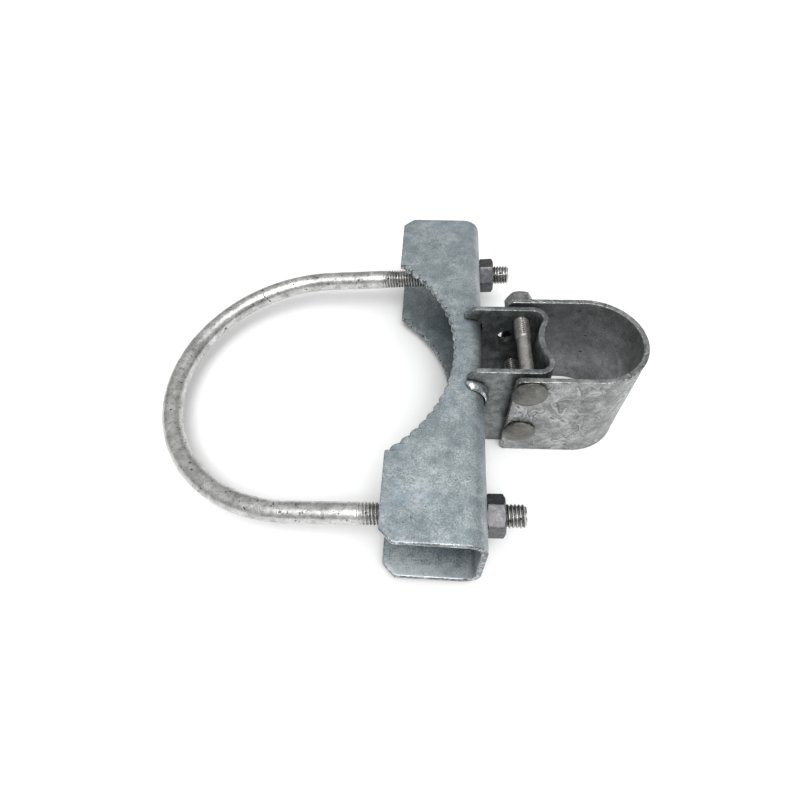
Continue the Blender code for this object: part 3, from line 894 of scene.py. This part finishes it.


# ---------------------------------------------------------------- materials
# painted_shade sets how much occlusion darkening, painted shade, is multiplied into each colour
PLATE_ZINC = zinc("channel_zinc", (0.16, 0.20, 0.215), (0.285, 0.33, 0.348), (0.54, 0.59, 0.61), 0.65, 0.44,
                  speckle=0.52, pits=0.27, contrast=0.75, patchy=0.55, streaks=0.5, wear=0.95, bump=0.16,
                  painted_shade=0.88, reach=40.0, lit_ends=True, stain=(0.25, 0.345, 0.42), stain_scale=38.0)
BRACKET_ZINC = zinc("bracket_zinc", (0.09, 0.105, 0.11), (0.19, 0.205, 0.205), (0.40, 0.42, 0.41), 0.75, 0.44,
                    speckle=0.4, pits=0.27, contrast=1.2, streaks=0.4, wear=0.95, painted_shade=0.5, reach=20.0)
STRAP_ZINC = zinc("strap_zinc", (0.09, 0.095, 0.095), (0.225, 0.23, 0.23), (0.48, 0.49, 0.49), 0.75, 0.40,
                  mottle=75.0, speckle=0.4, pits=0.26, streaks=0.45, wear=0.95, painted_shade=0.45, reach=3.0, bump=0.19,
                  folds=0.8, patchy=0.9)
ROD_ZINC = zinc("rod_zinc", (0.24, 0.24, 0.235), (0.50, 0.50, 0.49), (0.76, 0.76, 0.75), 0.88, 0.32,
                mottle=90.0, speckle=0.25, pits=0.345, bump=0.13, contrast=0.9, streaks=0.3,
                painted_shade=0.75, reach=16.0)
NUT_DARK = zinc("nut_dark", (0.05, 0.05, 0.055), (0.088, 0.088, 0.094), (0.18, 0.18, 0.19), 0.62, 0.35,
                mottle=120.0, speckle=0.35, wear=0.5)
BOLT_ZINC = zinc("bolt_zinc", (0.08, 0.08, 0.075), (0.155, 0.155, 0.145), (0.27, 0.27, 0.255), 0.8, 0.42,
                 mottle=140.0, speckle=0.25, painted_shade=0.4, reach=2.0, contrast=0.8, wear=0.7, stain=(0.15, 0.10, 0.06))
SHANK_ZINC = zinc("shank_zinc", (0.17, 0.168, 0.155), (0.37, 0.365, 0.345), (0.60, 0.595, 0.57), 0.75, 0.32,
                  mottle=140.0, speckle=0.2, painted_shade=0.85, reach=1.3, contrast=0.7, stain=(0.22, 0.15, 0.10))
WELD_ZINC = zinc("weld_zinc", (0.16, 0.18, 0.19), (0.48, 0.52, 0.54), (0.85, 0.88, 0.90), 0.9, 0.22,
                 mottle=200.0, speckle=0.2, bump=0.12, wear=0.6, painted_shade=0.6, reach=2.0)
NUT_ZINC = zinc("nut_zinc", (0.09, 0.095, 0.095), (0.215, 0.22, 0.22), (0.44, 0.45, 0.45), 0.75, 0.40,
                mottle=120.0, speckle=0.4, pits=0.27, wear=0.8, painted_shade=0.5, reach=3.0)
CUT_ZINC = zinc("cut_edge_zinc", (0.05, 0.06, 0.065), (0.16, 0.18, 0.19), (0.60, 0.64, 0.66), 0.7, 0.42,
                mottle=120.0, speckle=0.75, contrast=1.3, patchy=1.6, wear=0.95, bump=0.2)
INNER_ZINC = zinc("strap_inner_zinc", (0.12, 0.126, 0.13), (0.27, 0.282, 0.288), (0.52, 0.53, 0.53), 0.75, 0.42,
                  speckle=0.5, pits=0.3, contrast=0.8, patchy=0.6, streaks=0.5, painted_shade=0.6, reach=30.0)

# ---------------------------------------------------------------- the clamp
build_channel(PLATE_ZINC, CUT_ZINC)
build_bracket(BRACKET_ZINC)
build_strap(STRAP_ZINC, INNER_ZINC)
build_u_bolt(ROD_ZINC)
for nut_side, nut_sign in (("near", -1), ("far", 1)):
    nut_base = LEG_ROOT + LEG_AXIS * NUT_OUT + Y * nut_sign * LEG_Y
    build_nut(f"leg_nut_{nut_side}", f"u_bolt_nut_{nut_side}", NUT_DARK, nut_base, LEG_AXIS,
              NUT_FLATS, NUT_T, NUT_BORE_R, NUT_TURNS[nut_side], ROD_PITCH)
for bolt_level in BOLT_Z:
    build_carriage_bolt(bolt_level, BOLT_ZINC, SHANK_ZINC)
    nut_base = Vector(JOINTS[f"carriage_nut_{bolt_level}_turn"]["pos_m"])
    build_nut(f"strap_nut_{bolt_level}", f"carriage_nut_{bolt_level}", NUT_ZINC, nut_base,
              NUT_AXIS, CB_NUT_FLATS, CB_NUT_T, CB_NUT_BORE_R, 0.0, CB_PITCH)
for bead_side, bead_sign in (("near", -1), ("far", 1)):
    for bead_level, bead_up in (("upper", 1), ("lower", -1)):
        build_weld(bead_side, bead_sign, bead_level, bead_up, WELD_ZINC)

# ---------------------------------------------------------------- stage and world
FLOOR_REACH = 3
FLOOR_Z = CAD_BOX[0].z - 0.2 * MM
floor_mesh = bpy.data.meshes.new("floor")
floor_corners = [(x * FLOOR_REACH, y * FLOOR_REACH, FLOOR_Z) for x, y in ((-1, -1), (1, -1), (1, 1), (-1, 1))]
floor_mesh.from_pydata(floor_corners, [], [(0, 1, 2, 3)])
floor = bpy.data.objects.new("floor", floor_mesh)
bpy.context.scene.collection.objects.link(floor)
floor_material, floor_tree, floor_shader = nodes_of("floor_pale")
floor_shader.inputs["Base Color"].default_value = (0.95, 0.95, 0.95, 1.0)
floor_shader.inputs["Roughness"].default_value = 0.9
floor_shader.inputs["Specular IOR Level"].default_value = 0.1
floor_mesh.materials.append(floor_material)

world = bpy.data.worlds.new("studio")
bpy.context.scene.world = world
world.use_nodes = True
sky_tree = world.node_tree
sky_direction = sky_tree.nodes.new("ShaderNodeTexCoord").outputs["Generated"]
sky_parts = sky_tree.nodes.new("ShaderNodeSeparateXYZ")
link(sky_tree, sky_direction, sky_parts.inputs["Vector"])
sky = ramp(sky_tree, sky_parts.outputs["Z"], ((0.0, 0.42), (0.35, 0.62), (0.75, 0.92), (1.0, 1.0)))
link(sky_tree, sky, sky_tree.nodes["Background"].inputs["Color"])
sky_tree.nodes["Background"].inputs["Strength"].default_value = 0.66


# ---------------------------------------------------------------- lights
def add_light(name, kind, energy, direction, location=(0.0, 0.0, 0.0)):
    data = bpy.data.lights.new(name, kind)
    data.energy = energy
    light = bpy.data.objects.new(name, data)
    light.location = location
    light.rotation_euler = direction.to_track_quat("-Z", "Y").to_euler()
    bpy.context.scene.collection.objects.link(light)
    return data


KEY_AT = Vector((0.12, -0.72, 1.50))
key = add_light("key", "AREA", 12.0, -KEY_AT, KEY_AT)
key.shape = "SQUARE"
key.size = 0.80
overhead = add_light("overhead", "SUN", 1.25, Vector((-0.12, 0.30, -0.94)))
overhead.angle = math.radians(55.0)

# ---------------------------------------------------------------- camera
CAMERA_AT = Vector((WEB_X - 33.01 * MM, -211.06 * MM, 267.25 * MM))
AZIMUTH = math.radians(6.156)
ELEVATION = math.radians(55.831)
ROLL = math.radians(-2.732)
SENSOR = 36.0
FOCAL_SHARE = 534.767 / 800
reach_out = math.cos(ELEVATION)
forward = Vector((-math.sin(AZIMUTH) * reach_out, math.cos(AZIMUTH) * reach_out, -math.sin(ELEVATION)))
level_right = forward.cross(Z).normalized()
level_up = level_right.cross(forward)
right = level_right * math.cos(ROLL) + level_up * math.sin(ROLL)
up = level_up * math.cos(ROLL) - level_right * math.sin(ROLL)
camera_data = bpy.data.cameras.new("camera")
camera_data.sensor_width = SENSOR
camera_data.lens = SENSOR * FOCAL_SHARE
camera_data.shift_x = 0.0086
camera_data.shift_y = 0.0178
camera_data.clip_start = 0.01
camera_data.clip_end = 20.0
camera = bpy.data.objects.new("camera", camera_data)
turned = Matrix((right, up, -forward)).transposed().to_4x4()
camera.matrix_world = Matrix.Translation(CAMERA_AT) @ turned
bpy.context.scene.collection.objects.link(camera)
bpy.context.scene.camera = camera
bpy.context.scene.view_settings.view_transform = "Standard"
